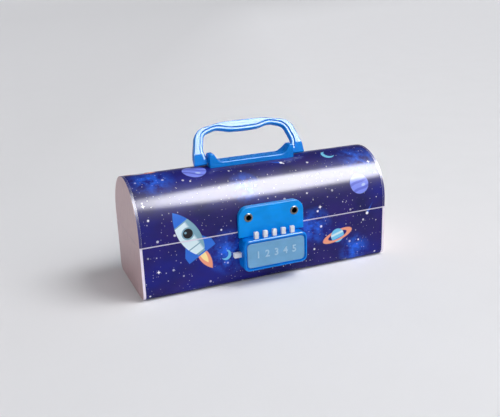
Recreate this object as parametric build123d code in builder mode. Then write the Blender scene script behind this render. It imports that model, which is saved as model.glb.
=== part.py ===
from build123d import *
import os
from math import cos, radians, sin, sqrt, tan

# Pencil box with an arched lid, a folding handle and a five-key code lock.
# Millimetres. X runs along the box, the lock is on the front at -Y, Z is up.
# The origin is the middle of the underside.

# Board box
box_length = 210
box_depth = 76
seam_height = 43
lid_wall_height = 7
fold_radius = 6
board = 2
sheet = 0.4
lining = 0.3
seam_gap = 0.3
bare_rim = 0.8
hinge_strip_reach = 3

# Hasp plate on the lid
hasp_width = 55.4
hasp_height = 24.2
hasp_corner = 8.5
hasp_thickness = 2.6
hasp_skin = 1.6
hasp_rim = 2
hasp_edge_round = 0.8
tongue_width = 24
tongue_thickness = 1.2
tongue_length = 6.7
tongue_notch_depth = 2.5
tongue_notch_height = 2.6
tongue_notch_rise = 1.5

# Eyelets that hold the hasp plate
rivet_spacing = 38.9
rivet_rise = 15.9
rivet_bore = 2.3
rivet_wall = 0.5
rivet_rim = 3.5
rivet_rim_height = 0.6
rivet_boss = 4.6
washer_width = 1.2
washer_thickness = 0.6

# Lock housing on the base
lock_width = 54.4
lock_height = 25.5
lock_drop = 30.6
lock_depth = 10.4
lock_wall = 1.3
lock_top_wall = 1.5
lock_front_wall = 0.9
lock_corner = 5
lock_edge_round = 1.6
panel_pocket_margin = 1.9
panel_pocket_depth = 1
panel_margin = 1
panel_thickness = 0.8
panel_corner = 3
lock_plate = 0.8
lock_plate_margin = 0.25

# Screws of the lock
lock_screw_spacing = 46.8
lock_screw_rise = 16.6
lock_screw_lift = 4.4
screw_radius = 0.95
screw_hole = 1.1
screw_boss = 2.8
screw_head = 1.9
screw_head_height = 1.2
screw_recess_width = 0.5
screw_recess_depth = 0.5
inner_plate_margin = 3

# Code keys
key_count = 5
key_pitch = 7.65
key_width = 3.2
key_depth = 2.6
key_rise = 5.3
key_length = 22.2
key_travel = 3
key_fit = 0.15
key_corner = 0.4
key_flange = 0.5
key_flange_height = 1.4
key_notch = 1.2

# Latch bar with its side button
button_size = 3.6
button_stub = 2.8
button_rise = 13.1
button_root = 3.5
button_fit = 0.2
button_round = 0.7
release_travel = 3
bar_thickness = 2.1
bar_end = 17
tooth_width = 1.6
tooth_height = 2.4
tooth_reach = 2.9
latch_width = 3.2
latch_nose = 1
latch_nose_height = 2

# Springs
spring_radius = 1.1
spring_wire = 0.4
spring_turns = 5
peg_radius = 0.7
peg_length = 2.5

# Running clearances inside the lock
plate_clearance = 0.4
bar_clearance = 0.5
cavity_clearance = 0.2
swing_clearance = 1.2
latch_clearance = 0.4
sheet_clearance = 0.3
hole_clearance = 0.1
seat_clearance = 0.05

# Handle bracket on the lid crown
bracket_length = 73
bracket_depth = 13
bracket_thickness = 3.5
bracket_round = 1.1
ear_width = 3.8
ear_depth = 7.5
ear_slope = 4.2
ear_rise = 7.2
ear_top_round = 1.8
ear_side_round = 2
ear_root_round = 6
bracket_screw_spacing = 57
bracket_screw_depth = 3.2

# Handle grip, drawn in its own leaning plane. Corners are half width, height above the pivot and radius.
grip_lean = 32
grip_thickness = 6.8
grip_round = 0.8
grip_height = 30.3
grip_belly = 21.6
grip_foot_half = 47.8
grip_foot_end = 3.1
grip_heel_height = 3
grip_heel_round = 6
grip_outer_corners = [(47.3, 5, 25), (41.6, 25.6, 12), (18, 30.2, 60)]
grip_inner_corners = [(38.7, 8.2, 6), (35, 21.4, 7), (23.5, 24.8, 12), (12, 22, 14)]
ledge_width = 2.4
ledge_depth = 1
ledge_slope = 0.9
ledge_round = 1.2
pad_top = 5
pad_slope = 13
stud_radius = 1.75
stud_length = 3.2
stud_fit = 0.08
stud_play = 0.4
ear_clearance = 0.9
pivot_rise = 4.25

# Levels and faces worked out from the sizes above
half_length = box_length / 2
half_depth = box_depth / 2
room_half_length = half_length - board
board_face = sheet
lining_face = sheet + board
room_face = sheet + board + lining
lid_low = seam_height + seam_gap
arch_centre = seam_height + lid_wall_height
crown = arch_centre + half_depth

lock_bottom = seam_height - lock_drop
lock_top = lock_bottom + lock_height
lock_middle = lock_bottom + lock_height / 2
lock_face = half_depth + lock_depth
lock_cavity_face = lock_face - panel_pocket_depth - lock_front_wall
lock_cavity_floor = lock_bottom + lock_wall
lock_cavity_top = lock_top - lock_top_wall
lock_cavity_half = lock_width / 2 - lock_wall
lock_screw_bottom = lock_bottom + lock_screw_lift

hasp_low = lock_top + sheet_clearance
hasp_top = hasp_low + hasp_height
hasp_face = half_depth + hasp_thickness
tongue_back = half_depth + lock_plate + plate_clearance
tongue_face = tongue_back + tongue_thickness
tongue_low = hasp_low - tongue_length
tongue_slot_face = tongue_face + swing_clearance
rivet_height = hasp_low + rivet_rise

key_face = lock_cavity_face - cavity_clearance
key_back = key_face - key_depth
key_middle = key_face - key_depth / 2
key_top = lock_top + key_rise
key_foot = key_top - key_length
key_places = [(i - (key_count - 1) / 2) * key_pitch for i in range(key_count)]

bar_back = half_depth + lock_plate + bar_clearance
bar_face = bar_back + bar_thickness
button_across = bar_back + button_size / 2
button_middle = lock_bottom + button_rise
button_low = button_middle - button_size / 2
button_reach = release_travel + button_stub

pivot_height = crown + pivot_rise
room_crown = crown - room_face


def save(piece, label):
    """Name a finished piece and write it to its own file."""
    piece.part.label = label
    export_step(piece.part, f"parts/{label}.step")


def base_section(inset, top):
    """Filled cross-section of the base, a given depth inside its outer face."""
    with BuildSketch() as section:
        with Locations((0, (top + inset) / 2)):
            Rectangle(box_depth - 2 * inset, top - inset)
        fillet(section.vertices().group_by(Axis.Y)[0], fold_radius - inset)
    return section.sketch


def lid_section(inset, low):
    """Filled cross-section of the lid, a given depth inside its outer face."""
    with BuildSketch() as section:
        with Locations((0, arch_centre)):
            Circle(half_depth - inset)
        with Locations((0, (low + arch_centre) / 2)):
            Rectangle(box_depth - 2 * inset, arch_centre - low)
        with Locations((0, low - half_depth)):
            Rectangle(2 * box_depth, box_depth, mode=Mode.SUBTRACT)
    return section.sketch


def corner_places(spacing_x, spacing_z, low):
    """Four places on the front, two at each height."""
    return [(x, z) for x in (-spacing_x / 2, spacing_x / 2) for z in (low, low + spacing_z)]


os.makedirs("parts", exist_ok=True)

lock_screw_places = corner_places(lock_screw_spacing, lock_screw_rise, lock_screw_bottom)
rivet_places = [(-rivet_spacing / 2, rivet_height), (rivet_spacing / 2, rivet_height)]
bracket_screw_places = [(-bracket_screw_spacing / 2, 0), (bracket_screw_spacing / 2, 0)]

# Holes through the base front for the lock screws
with BuildPart() as front_holes:
    with BuildSketch(Plane.XZ.offset(half_depth - room_face - 1)):
        with Locations(*lock_screw_places):
            Circle(screw_hole)
    extrude(amount=room_face + lock_plate + 1)

# Holes through the lid for the eyelets and the bracket screws
with BuildPart() as lid_holes:
    with BuildSketch(Plane.XZ.offset(half_depth - room_face - 2)):
        with Locations(*rivet_places):
            Circle(rivet_bore + rivet_wall + hole_clearance)
    extrude(amount=room_face + hasp_thickness + 3)
    with BuildSketch(Plane.XY.offset(room_crown - 2)):
        with Locations(*bracket_screw_places):
            Circle(screw_hole)
    extrude(amount=room_face + 3)

# Base tray: one board folded into front, bottom and back
with BuildPart() as base_shell:
    with BuildSketch(Plane.YZ):
        add(base_section(board_face, seam_height))
        add(base_section(lining_face, seam_height + 1), mode=Mode.SUBTRACT)
    extrude(amount=room_half_length, both=True)
    add(front_holes.part, mode=Mode.SUBTRACT)
save(base_shell, "base_shell")

# Paper lining of the tray
with BuildPart() as base_lining:
    with BuildSketch(Plane.YZ):
        add(base_section(lining_face, seam_height - bare_rim))
        add(base_section(room_face, seam_height), mode=Mode.SUBTRACT)
    extrude(amount=room_half_length, both=True)
    add(front_holes.part, mode=Mode.SUBTRACT)
save(base_lining, "base_lining")

# Printed sheet on the base front, down round the front fold
with BuildPart() as base_front_sheet:
    with BuildSketch(Plane.YZ):
        add(base_section(0, seam_height - bare_rim))
        add(base_section(board_face, seam_height), mode=Mode.SUBTRACT)
        with Locations((fold_radius / 2, seam_height / 2)):
            Rectangle(box_depth - fold_radius, 2 * seam_height, mode=Mode.SUBTRACT)
    extrude(amount=room_half_length, both=True)
    add(front_holes.part, mode=Mode.SUBTRACT)
save(base_front_sheet, "base_front_sheet")

# Printed sheet on the base back, down round the back fold
with BuildPart() as base_back_sheet:
    with BuildSketch(Plane.YZ):
        add(base_section(0, seam_height - hinge_strip_reach))
        add(base_section(board_face, seam_height), mode=Mode.SUBTRACT)
        with Locations((-fold_radius / 2, seam_height / 2)):
            Rectangle(box_depth - fold_radius, 2 * seam_height, mode=Mode.SUBTRACT)
    extrude(amount=room_half_length, both=True)
save(base_back_sheet, "base_back_sheet")

# Plain sheet on the underside, between the two folds
with BuildPart() as underside_sheet:
    with BuildSketch(Plane.XY):
        Rectangle(2 * room_half_length, box_depth - 2 * fold_radius)
    extrude(amount=sheet)
save(underside_sheet, "underside_sheet")

# End panels of the base
for side, label in ((-1, "base_end_left"), (1, "base_end_right")):
    with BuildPart() as base_end:
        with BuildSketch(Plane.YZ.offset(side * room_half_length)):
            add(base_section(0, seam_height))
        extrude(amount=side * board)
    save(base_end, label)

# Lid: one board bent into an arch
with BuildPart() as lid_shell:
    with BuildSketch(Plane.YZ):
        add(lid_section(board_face, lid_low))
        add(lid_section(lining_face, lid_low - 1), mode=Mode.SUBTRACT)
    extrude(amount=room_half_length, both=True)
    add(lid_holes.part, mode=Mode.SUBTRACT)
save(lid_shell, "lid_shell")

# Paper lining of the lid
with BuildPart() as lid_lining:
    with BuildSketch(Plane.YZ):
        add(lid_section(lining_face, lid_low + bare_rim))
        add(lid_section(room_face, lid_low), mode=Mode.SUBTRACT)
    extrude(amount=room_half_length, both=True)
    add(lid_holes.part, mode=Mode.SUBTRACT)
save(lid_lining, "lid_lining")

# Printed sheet over the lid, from the front edge to the hinge strip
with BuildPart() as lid_cover:
    with BuildSketch(Plane.YZ):
        add(lid_section(0, lid_low))
        add(lid_section(board_face, lid_low - 1), mode=Mode.SUBTRACT)
        with Locations((half_depth, lid_low)):
            Rectangle(box_depth, 2 * hinge_strip_reach, mode=Mode.SUBTRACT)
    extrude(amount=room_half_length, both=True)
    add(lid_holes.part, mode=Mode.SUBTRACT)
save(lid_cover, "lid_cover")

# Strip of the same sheet that flexes at the back seam
with BuildPart() as cover_hinge:
    with BuildSketch(Plane.YZ):
        with Locations((half_depth - sheet, seam_height - hinge_strip_reach)):
            Rectangle(sheet, 2 * hinge_strip_reach + seam_gap, align=(Align.MIN, Align.MIN))
    extrude(amount=room_half_length, both=True)
save(cover_hinge, "cover_hinge")

# End panels of the lid
for side, label in ((-1, "lid_end_left"), (1, "lid_end_right")):
    with BuildPart() as lid_end:
        with BuildSketch(Plane.YZ.offset(side * room_half_length)):
            add(lid_section(0, lid_low))
        extrude(amount=side * board)
    save(lid_end, label)

# Hasp plate: flat face, hollow behind, its rim cut to the arch of the lid
with BuildPart() as hasp_plate:
    with BuildSketch(Plane.XZ.offset(half_depth - hasp_thickness)) as outline:
        with Locations((0, (hasp_low + hasp_top) / 2)):
            Rectangle(hasp_width, hasp_height)
        fillet(outline.vertices().group_by(Axis.Y)[-1], hasp_corner)
        fillet(outline.vertices().group_by(Axis.Y)[0], 1)
    extrude(amount=2 * hasp_thickness)
    fillet(hasp_plate.faces().sort_by(Axis.Y)[0].edges(), hasp_edge_round)
    with BuildSketch(Plane.XZ.offset(hasp_face - hasp_skin)) as hollow:
        with Locations((0, (lid_low + hasp_top) / 2)):
            Rectangle(hasp_width - 2 * hasp_rim, hasp_top - lid_low - 2 * hasp_rim)
        fillet(hollow.vertices().group_by(Axis.Y)[-1], hasp_corner - hasp_rim)
        with Locations(*rivet_places):
            Circle(rivet_boss, mode=Mode.SUBTRACT)
    extrude(amount=-2 * hasp_thickness, mode=Mode.SUBTRACT)
    # Tongue that drops into the lock, with a notch for the latch
    with BuildSketch(Plane.XZ.offset(tongue_back)):
        with Locations((0, (tongue_low + hasp_low + 1) / 2)):
            Rectangle(tongue_width, tongue_length + 1)
        notch_middle = tongue_low + tongue_notch_rise + tongue_notch_height / 2
        with Locations((tongue_width / 2, notch_middle)):
            Rectangle(2 * tongue_notch_depth, tongue_notch_height, mode=Mode.SUBTRACT)
    extrude(amount=tongue_thickness)
    # Seat on the arch and on the wall below it
    with BuildSketch(Plane.YZ):
        add(lid_section(-seat_clearance, lid_low))
    extrude(amount=half_length, both=True, mode=Mode.SUBTRACT)
    with BuildSketch(Plane.YZ):
        with Locations((-(half_depth + sheet_clearance), lid_low)):
            Rectangle(box_depth, 2 * hasp_height, align=(Align.MIN, Align.MAX))
    extrude(amount=half_length, both=True, mode=Mode.SUBTRACT)
    with BuildSketch(Plane.XZ.offset(0)):
        with Locations(*rivet_places):
            Circle(rivet_bore + rivet_wall + hole_clearance)
    extrude(amount=2 * half_depth, mode=Mode.SUBTRACT)
save(hasp_plate, "hasp_plate")

# Hollow eyelets: a barrel with a rolled rim at each end
rivet_inside = sqrt((half_depth - room_face) ** 2 - (rivet_height - arch_centre) ** 2)
with BuildPart() as hasp_rivets:
    with BuildSketch(Plane.XZ.offset(rivet_inside - washer_thickness - rivet_rim_height)):
        with Locations(*rivet_places):
            Circle(rivet_rim)
    extrude(amount=rivet_rim_height)
    with BuildSketch(Plane.XZ.offset(hasp_face)):
        with Locations(*rivet_places):
            Circle(rivet_rim)
    extrude(amount=rivet_rim_height)
    rims = hasp_rivets.edges().filter_by(GeomType.CIRCLE).group_by(Axis.Y)
    fillet(rims[0] + rims[-1], rivet_rim_height * 0.7)
    with BuildSketch(Plane.XZ.offset(rivet_inside - washer_thickness - rivet_rim_height)):
        with Locations(*rivet_places):
            Circle(rivet_bore + rivet_wall)
    extrude(amount=hasp_face - rivet_inside + washer_thickness + rivet_rim_height)
    with BuildSketch(Plane.XZ.offset(0)):
        with Locations(*rivet_places):
            Circle(rivet_bore)
    extrude(amount=2 * half_depth, mode=Mode.SUBTRACT)
save(hasp_rivets, "hasp_rivets")

# Washers between the eyelets and the lid lining
with BuildPart() as hasp_washers:
    with BuildSketch(Plane.XZ.offset(rivet_inside - washer_thickness)):
        with Locations(*rivet_places):
            Circle(rivet_rim + washer_width)
            Circle(rivet_bore + rivet_wall + hole_clearance, mode=Mode.SUBTRACT)
    extrude(amount=washer_thickness)
    with BuildSketch(Plane.YZ):
        add(lid_section(room_face, lid_low))
    extrude(amount=half_length, both=True, mode=Mode.INTERSECT)
save(hasp_washers, "hasp_washers")

# Lock housing: a shell open at the back, with slots for keys, tongue and button
with BuildPart() as lock_housing:
    with BuildSketch(Plane.XZ.offset(half_depth)):
        with Locations((0, lock_middle)):
            RectangleRounded(lock_width, lock_height, lock_corner)
    extrude(amount=lock_depth)
    fillet(lock_housing.faces().sort_by(Axis.Y)[0].edges(), lock_edge_round)
    pocket_width = lock_width - 2 * panel_pocket_margin
    pocket_height = lock_height - 2 * panel_pocket_margin
    with BuildSketch(Plane.XZ.offset(lock_face - panel_pocket_depth)):
        with Locations((0, lock_middle)):
            RectangleRounded(pocket_width, pocket_height, lock_corner - panel_pocket_margin)
    extrude(amount=panel_pocket_depth, mode=Mode.SUBTRACT)
    with BuildSketch(Plane.XZ.offset(half_depth)):
        with Locations((0, (lock_cavity_floor + lock_cavity_top) / 2)):
            Rectangle(2 * lock_cavity_half, lock_cavity_top - lock_cavity_floor)
        with Locations(*lock_screw_places):
            Circle(screw_boss, mode=Mode.SUBTRACT)
    extrude(amount=lock_cavity_face - half_depth, mode=Mode.SUBTRACT)
    # Room for the back plate, which closes the shell
    with BuildSketch(Plane.XZ.offset(half_depth)):
        with Locations((0, (lock_cavity_floor + lock_cavity_top) / 2)):
            Rectangle(2 * lock_cavity_half, lock_cavity_top - lock_cavity_floor)
    extrude(amount=lock_plate, mode=Mode.SUBTRACT)
    with BuildSketch(Plane.XZ.offset(half_depth)):
        with Locations(*lock_screw_places):
            Circle(screw_radius + hole_clearance / 2)
    extrude(amount=lock_cavity_face - half_depth - 0.5, mode=Mode.SUBTRACT)
    # Key slots and tongue slot in the top wall
    with BuildSketch(Plane.XY.offset(lock_cavity_top - 0.5)):
        with Locations(*[(x, -key_middle) for x in key_places]):
            Rectangle(key_width + 2 * key_fit, key_depth + 2 * key_fit)
        with Locations((0, -half_depth)):
            Rectangle(
                tongue_width + 2 * latch_clearance,
                tongue_slot_face - half_depth,
                align=(Align.CENTER, Align.MAX),
            )
    extrude(amount=lock_top_wall + 1, mode=Mode.SUBTRACT)
    # Hole for the side button
    with BuildSketch(Plane.YZ.offset(-lock_width / 2 - 1)):
        with Locations((-button_across, button_middle)):
            Rectangle(button_size + 2 * button_fit, button_size + 2 * button_fit)
    extrude(amount=lock_wall + 2, mode=Mode.SUBTRACT)
save(lock_housing, "lock_housing")

# Inlaid panel in the front pocket
with BuildPart() as lock_panel:
    with BuildSketch(Plane.XZ.offset(lock_face - panel_pocket_depth)):
        with Locations((0, lock_middle)):
            RectangleRounded(
                pocket_width - 2 * panel_margin,
                pocket_height - 2 * panel_margin,
                panel_corner,
            )
    extrude(amount=panel_thickness)
    fillet(lock_panel.faces().sort_by(Axis.Y)[0].edges(), 0.3)
save(lock_panel, "lock_panel")

# Back plate that closes the housing
with BuildPart() as lock_backplate:
    with BuildSketch(Plane.XZ.offset(half_depth)):
        with Locations((0, (lock_cavity_floor + lock_cavity_top) / 2)):
            Rectangle(
                2 * lock_cavity_half - 2 * lock_plate_margin,
                lock_cavity_top - lock_cavity_floor - 2 * lock_plate_margin,
            )
        with Locations(*lock_screw_places):
            Circle(screw_hole, mode=Mode.SUBTRACT)
    extrude(amount=lock_plate)
save(lock_backplate, "lock_backplate")

# Plate inside the box that the screw heads bear on
with BuildPart() as lock_inner_plate:
    with BuildSketch(Plane.XZ.offset(half_depth - room_face - lock_plate)):
        with Locations((0, lock_screw_bottom + lock_screw_rise / 2)):
            RectangleRounded(
                lock_screw_spacing + 2 * inner_plate_margin,
                lock_screw_rise + 2 * inner_plate_margin,
                inner_plate_margin - 0.5,
            )
        with Locations(*lock_screw_places):
            Circle(screw_hole, mode=Mode.SUBTRACT)
    extrude(amount=lock_plate)
save(lock_inner_plate, "lock_inner_plate")

# Lock screws, put in from inside the box
lock_screw_seat = half_depth - room_face - lock_plate
lock_screw_tip = lock_cavity_face - 1
with BuildPart() as lock_screws:
    with BuildSketch(Plane.XZ.offset(lock_screw_seat - screw_head_height)):
        with Locations(*lock_screw_places):
            Circle(screw_head)
    extrude(amount=screw_head_height)
    fillet(lock_screws.edges().filter_by(GeomType.CIRCLE).group_by(Axis.Y)[-1], 0.5)
    with BuildSketch(Plane.XZ.offset(lock_screw_seat)):
        with Locations(*lock_screw_places):
            Circle(screw_radius)
    extrude(amount=lock_screw_tip - lock_screw_seat)
    with BuildSketch(Plane.XZ.offset(lock_screw_seat - screw_head_height)):
        with Locations(*lock_screw_places):
            Rectangle(screw_head, screw_recess_width)
            Rectangle(screw_recess_width, screw_head)
    extrude(amount=screw_recess_depth, mode=Mode.SUBTRACT)
save(lock_screws, "lock_screws")

# Code keys: a pressed post with a stop flange, a notch for the bar's teeth and a spring peg
tooth_low = button_middle - tooth_height / 2
for i, x in enumerate(key_places):
    with BuildPart() as code_key:
        with BuildSketch(Plane.XY.offset(key_foot)):
            with Locations((x, -key_middle)):
                Rectangle(key_width, key_depth)
        extrude(amount=key_length)
        fillet(code_key.faces().sort_by(Axis.Z)[-1].edges(), key_corner)
        with BuildSketch(Plane.XY.offset(lock_cavity_top - cavity_clearance - key_flange_height)):
            with Locations((x, -key_middle)):
                Rectangle(key_width + 2 * key_flange, key_depth)
        extrude(amount=key_flange_height)
        with BuildSketch(Plane.XY.offset(tooth_low - cavity_clearance)):
            with Locations((x, -key_back)):
                Rectangle(2 * key_width, 2 * key_notch)
        extrude(amount=tooth_height + key_travel + 2 * cavity_clearance, mode=Mode.SUBTRACT)
        with BuildSketch(Plane.XY.offset(key_foot)):
            with Locations((x, -key_middle)):
                Circle(peg_radius)
        extrude(amount=-peg_length)
    save(code_key, f"code_key_{i + 1}")

# Latch bar: side button, bar behind the keys, teeth, latch post and spring peg
bar_low = button_low
root_start = cavity_clearance - lock_cavity_half
peg_middle = bar_back + spring_radius + spring_wire / 2
latch_side = tongue_width / 2 + latch_clearance
latch_low = tongue_low + tongue_notch_rise
with BuildPart() as release_slide:
    with BuildSketch(Plane.YZ.offset(-lock_width / 2 - button_reach)):
        with Locations((-button_across, button_middle)):
            Rectangle(button_size, button_size)
    extrude(amount=root_start + button_root + lock_width / 2 + button_reach)
    fillet(release_slide.faces().sort_by(Axis.X)[0].edges(), button_round)
    with BuildSketch(Plane.XZ.offset(bar_back)):
        with Locations((root_start, bar_low)):
            Rectangle(
                bar_end - root_start,
                button_size,
                align=(Align.MIN, Align.MIN),
            )
        with Locations((latch_side + latch_nose, bar_low)):
            Rectangle(latch_width, latch_low + latch_nose_height - bar_low, align=(Align.MIN, Align.MIN))
        with Locations((latch_side, latch_low + cavity_clearance)):
            Rectangle(
                latch_nose + latch_width / 2,
                latch_nose_height - cavity_clearance,
                align=(Align.MIN, Align.MIN),
            )
    extrude(amount=bar_thickness)
    with BuildSketch(Plane.XZ.offset(bar_back)):
        with Locations(*[(x - key_width / 2 - key_flange, button_middle) for x in key_places]):
            Rectangle(tooth_width, tooth_height, align=(Align.MAX, Align.CENTER))
    extrude(amount=bar_thickness + tooth_reach)
    with BuildSketch(Plane.YZ.offset(bar_end)):
        with Locations((-peg_middle, button_middle)):
            Circle(peg_radius)
    extrude(amount=peg_length)
save(release_slide, "release_slide")


def coil_spring(foot, axis, length):
    """A compression spring of a given length that stands on a point, along an axis."""
    start = Vector(*foot) + Vector(*axis) * spring_wire / 2
    rise = length - spring_wire
    with BuildPart() as spring:
        with BuildLine() as path:
            Helix(rise / spring_turns, rise, spring_radius, center=start, direction=axis)
        with BuildSketch(Plane(origin=path.line @ 0, z_dir=path.line % 0)):
            Circle(spring_wire / 2)
        sweep()
    return spring


# Springs under the keys and at the end of the latch bar
key_spring_length = key_foot - lock_cavity_floor
for i, x in enumerate(key_places):
    key_spring = coil_spring((x, -key_middle, lock_cavity_floor), (0, 0, 1), key_spring_length)
    save(key_spring, f"key_spring_{i + 1}")
release_spring = coil_spring(
    (bar_end, -peg_middle, button_middle), (1, 0, 0), lock_cavity_half - bar_end
)
save(release_spring, "release_spring")
spring_gap = (key_spring_length - spring_wire) / spring_turns - spring_wire
print(f"least gap between turns: {spring_gap:.2f} mm")

# Handle bracket: a bar along the crown with an ear at each end
bar_top = crown + bracket_thickness
ear_top = bar_top + ear_rise
ear_inner = bracket_length / 2 - ear_width
bracket_front = -bracket_depth / 2
with BuildPart() as handle_bracket:
    with BuildSketch(Plane.XZ) as front:
        with BuildLine():
            Polyline(
                (0, arch_centre),
                (bracket_length / 2, arch_centre),
                (bracket_length / 2, ear_top),
                (ear_inner, ear_top),
                (ear_inner - ear_slope, bar_top),
                (0, bar_top),
                close=True,
            )
        make_face()
        fillet(front.vertices().group_by(Axis.Y)[-1], ear_top_round)
        bar_corners = front.vertices().filter_by_position(Axis.Y, bar_top - 0.1, bar_top + 0.1)
        fillet(bar_corners.sort_by(Axis.X)[-1], ear_root_round)
        mirror(about=Plane.YZ)
    extrude(amount=bracket_depth / 2, both=True)
    for wide_face in handle_bracket.faces().filter_by(Plane.XZ):
        fillet(wide_face.edges().sort_by(Axis.Z)[1:], bracket_round)
    # Side view: ears upright in front and sloping behind
    with BuildSketch(Plane.YZ) as side_view:
        with BuildLine():
            Polyline(
                (bracket_front, arch_centre),
                (bracket_front, ear_top),
                (bracket_front + ear_depth, ear_top),
                (-bracket_front, bar_top),
                (-bracket_front, arch_centre),
                close=True,
            )
        make_face()
        fillet(side_view.vertices().group_by(Axis.Y)[-1].sort_by(Axis.X)[-1], ear_side_round)
    extrude(amount=bracket_length, both=True, mode=Mode.INTERSECT)
    with BuildSketch(Plane.YZ):
        with Locations((0, arch_centre)):
            Circle(half_depth + seat_clearance)
    extrude(amount=bracket_length, both=True, mode=Mode.SUBTRACT)
    # Pivot holes in the ears
    for side in (-1, 1):
        with BuildSketch(Plane.YZ.offset(side * bracket_length / 2)):
            with Locations((0, pivot_height)):
                Circle(stud_radius + stud_fit)
        extrude(amount=-side * (stud_length + stud_play), mode=Mode.SUBTRACT)
    with BuildSketch(Plane.XY.offset(crown - 2)):
        with Locations(*bracket_screw_places):
            Circle(screw_radius + hole_clearance / 2)
    extrude(amount=2 + bracket_screw_depth + 0.2, mode=Mode.SUBTRACT)
save(handle_bracket, "handle_bracket")

# Washers and screws of the bracket, put in from inside the lid
bracket_washer_top = arch_centre + sqrt((half_depth - room_face) ** 2 - rivet_rim**2)
bracket_screw_seat = bracket_washer_top - washer_thickness
with BuildPart() as bracket_washers:
    with BuildSketch(Plane.XY.offset(bracket_screw_seat)):
        with Locations(*bracket_screw_places):
            Circle(rivet_rim)
            Circle(screw_hole, mode=Mode.SUBTRACT)
    extrude(amount=washer_thickness)
save(bracket_washers, "bracket_washers")

with BuildPart() as bracket_screws:
    with BuildSketch(Plane.XY.offset(bracket_screw_seat - screw_head_height)):
        with Locations(*bracket_screw_places):
            Circle(screw_head)
    extrude(amount=screw_head_height)
    fillet(bracket_screws.edges().filter_by(GeomType.CIRCLE).group_by(Axis.Z)[0], 0.5)
    with BuildSketch(Plane.XY.offset(bracket_screw_seat)):
        with Locations(*bracket_screw_places):
            Circle(screw_radius)
    extrude(amount=crown + bracket_screw_depth - bracket_screw_seat)
    with BuildSketch(Plane.XY.offset(bracket_screw_seat - screw_head_height)):
        with Locations(*bracket_screw_places):
            Rectangle(screw_head, screw_recess_width)
            Rectangle(screw_recess_width, screw_head)
    extrude(amount=screw_recess_depth, mode=Mode.SUBTRACT)
save(bracket_screws, "bracket_screws")

# Grip: a U with a thick middle, leaning back over the lid
lean = radians(grip_lean)
grip_plane = Plane(
    origin=(0, 0, pivot_height), x_dir=(1, 0, 0), z_dir=(0, -cos(lean), sin(lean))
)
foot_inner = bracket_length / 2 + ear_clearance
foot_under = -2 * grip_foot_end


def even_face(low, foot_half, corners, height):
    """Face the same on both sides of X 0: up from the foot, round the corners, level at a height."""
    with BuildSketch() as face:
        with BuildLine():
            Polyline(
                (0, low),
                (foot_half, low),
                *[(x, y) for x, y, _ in corners],
                (0, height),
                close=True,
            )
        make_face()
        for x, y, radius in corners:
            fillet(face.vertices().sort_by_distance((x, y, 0))[0], radius)
        mirror(about=Plane.YZ)
    return face.sketch


grip_outer = even_face(-grip_foot_end, grip_foot_half, grip_outer_corners, grip_height)
heel_corner = (foot_inner, grip_heel_height, grip_heel_round)
grip_hole = even_face(foot_under, foot_inner, [heel_corner] + grip_inner_corners, grip_belly)


def rim_edges(grip, outline, level):
    """Edges of the grip above its feet's ends that follow an outline, at a level off its middle."""
    border = outline.wires()[0]
    found = []
    for edge in grip.edges():
        spot = grip_plane.to_local_coords(edge @ 0.5)
        along = border.distance_to(Vector(spot.X, spot.Y, 0)) < 0.01
        if along and abs(abs(spot.Z) - level) < 0.01 and spot.Y > 0.01 - grip_foot_end:
            found.append(edge)
    return found


# Ledge round the finger hole, lower than the rest of the wide faces
with BuildSketch() as ledge_outline:
    add(grip_hole)
    offset(amount=ledge_width, kind=Kind.INTERSECTION)

with BuildPart() as handle_grip:
    with BuildSketch(grip_plane):
        add(grip_outer)
        add(grip_hole, mode=Mode.SUBTRACT)
    extrude(amount=grip_thickness / 2, both=True)
    for side in (-1, 1):
        with BuildSketch(grip_plane.offset(side * grip_thickness / 2)):
            add(ledge_outline.sketch)
        extrude(amount=-side * ledge_depth, mode=Mode.SUBTRACT)
    chamfer(rim_edges(handle_grip, ledge_outline.sketch, grip_thickness / 2), ledge_slope)
    fillet(rim_edges(handle_grip, grip_hole, grip_thickness / 2 - ledge_depth), ledge_round)
    fillet(rim_edges(handle_grip, grip_outer, grip_thickness / 2), grip_round)
    # Pads: both faces of each foot slope in towards its end
    pad_fall = (pad_top - foot_under) * tan(radians(pad_slope))
    with BuildSketch(
        Plane(origin=(0, 0, pivot_height), x_dir=(0, sin(lean), cos(lean)), z_dir=(1, 0, 0))
    ):
        with BuildLine():
            Polyline(
                (pad_top, grip_thickness / 2),
                (foot_under, grip_thickness / 2 - pad_fall),
                (foot_under, grip_thickness),
                (pad_top, grip_thickness),
                close=True,
            )
        make_face()
        mirror(about=Plane.XZ)
    extrude(amount=box_length / 2, both=True, mode=Mode.SUBTRACT)
    # Studs that turn in the bracket's ears
    for side in (-1, 1):
        with BuildSketch(Plane.YZ.offset(side * (foot_inner + 1))):
            with Locations((0, pivot_height)):
                Circle(stud_radius)
        extrude(amount=-side * (1 + ear_clearance + stud_length))
save(handle_grip, "handle_grip")
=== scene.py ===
"""Finishes, print and studio for a pencil box with an arched lid, a folding handle and a code lock."""

from math import cos, pi, radians, sin

import bmesh
import bpy
from bpy.props import FloatProperty, FloatVectorProperty, PointerProperty
from mathutils import Matrix, Vector


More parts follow.
